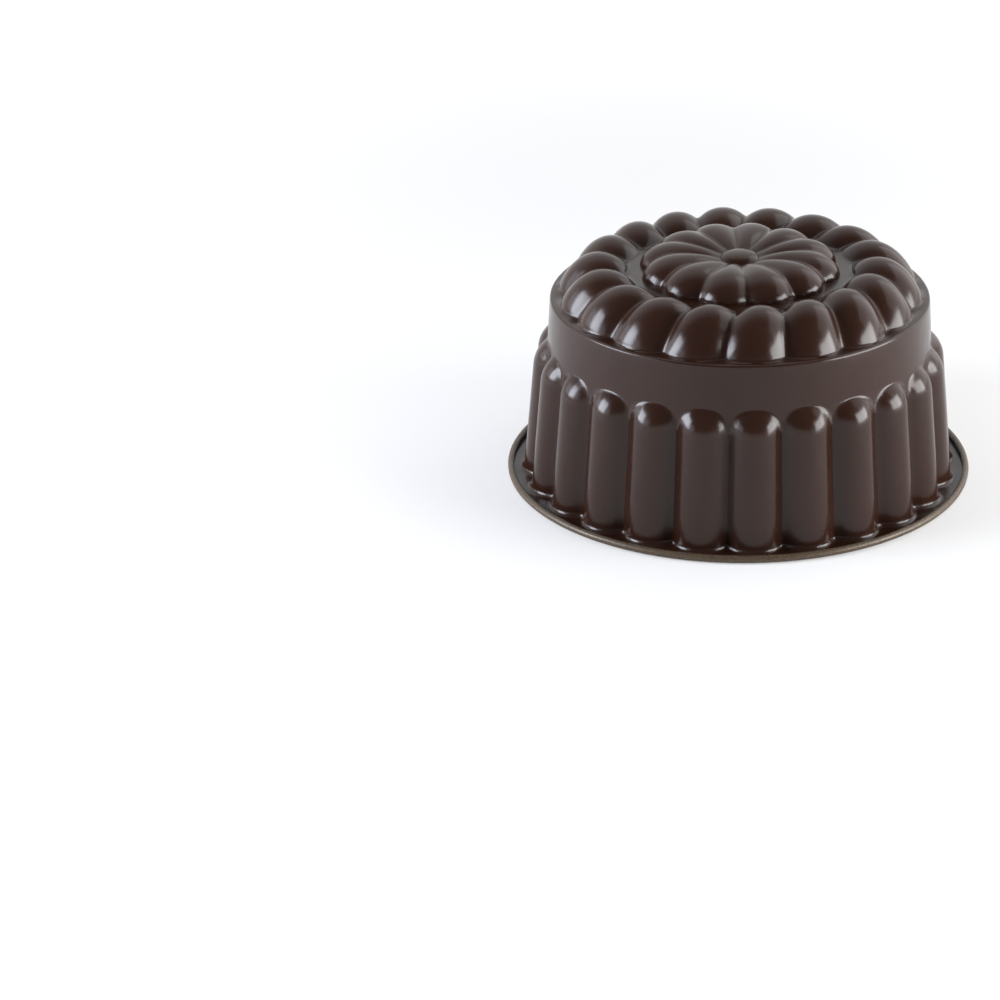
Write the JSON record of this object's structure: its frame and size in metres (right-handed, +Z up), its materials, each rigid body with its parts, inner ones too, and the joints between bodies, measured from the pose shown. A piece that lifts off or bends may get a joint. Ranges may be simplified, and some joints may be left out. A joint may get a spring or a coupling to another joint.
{
  "type": "bavarois mould",
  "caption": "Round fluted metal dessert mould: dome-ended flutes, a plain band, a petalled crown with a rosette, and a flat flange with a wired edge.",
  "frame": {"origin": "centre of the rim's flat face, which the mould stands on when it is turned over", "axes": "+Z up along the mould's axis, from the open mouth to the crown; -Y is the front, where a flute, the outer end of a petal and a groove of the rosette line up"},
  "size_m": [0.2198, 0.2198, 0.1099],
  "materials": {
    "outside_coat": "gloss chocolate-brown coat on pressed steel sheet",
    "nonstick_coat": "satin bronze-brown non-stick coat",
    "steel_wire": "bare drawn steel wire"
  },
  "bodies": {
    "root": {"pressed_shell": "outside_coat", "nonstick_lining": "nonstick_coat", "rim_wire": "steel_wire"}
  },
  "joints": []
}
